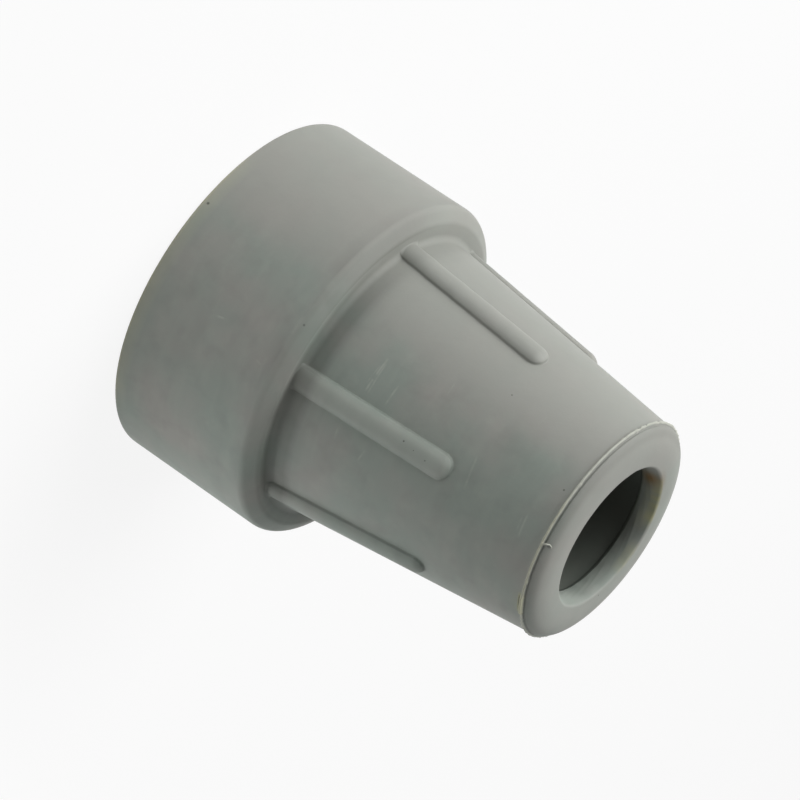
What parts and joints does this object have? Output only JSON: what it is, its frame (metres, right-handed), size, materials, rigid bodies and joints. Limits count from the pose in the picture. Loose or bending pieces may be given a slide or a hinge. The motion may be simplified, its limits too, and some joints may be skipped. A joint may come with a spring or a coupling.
{
  "type": "rubber cane tip",
  "caption": "Round rubber tip for a walking cane, with a wide foot, a tapering ribbed neck and a blind socket with a gripping lip at its mouth.",
  "frame": {"origin": "centre of the tread, on the tip's axis", "axes": "+Z along the axis from the tread to the mouth, +X midway between the two ribs that stand closest together"},
  "size_m": [0.0384, 0.0384, 0.0485],
  "materials": {
    "rubber": "matt grey-green moulded rubber"
  },
  "bodies": {
    "root": {"cane_tip": "rubber"}
  },
  "joints": []
}
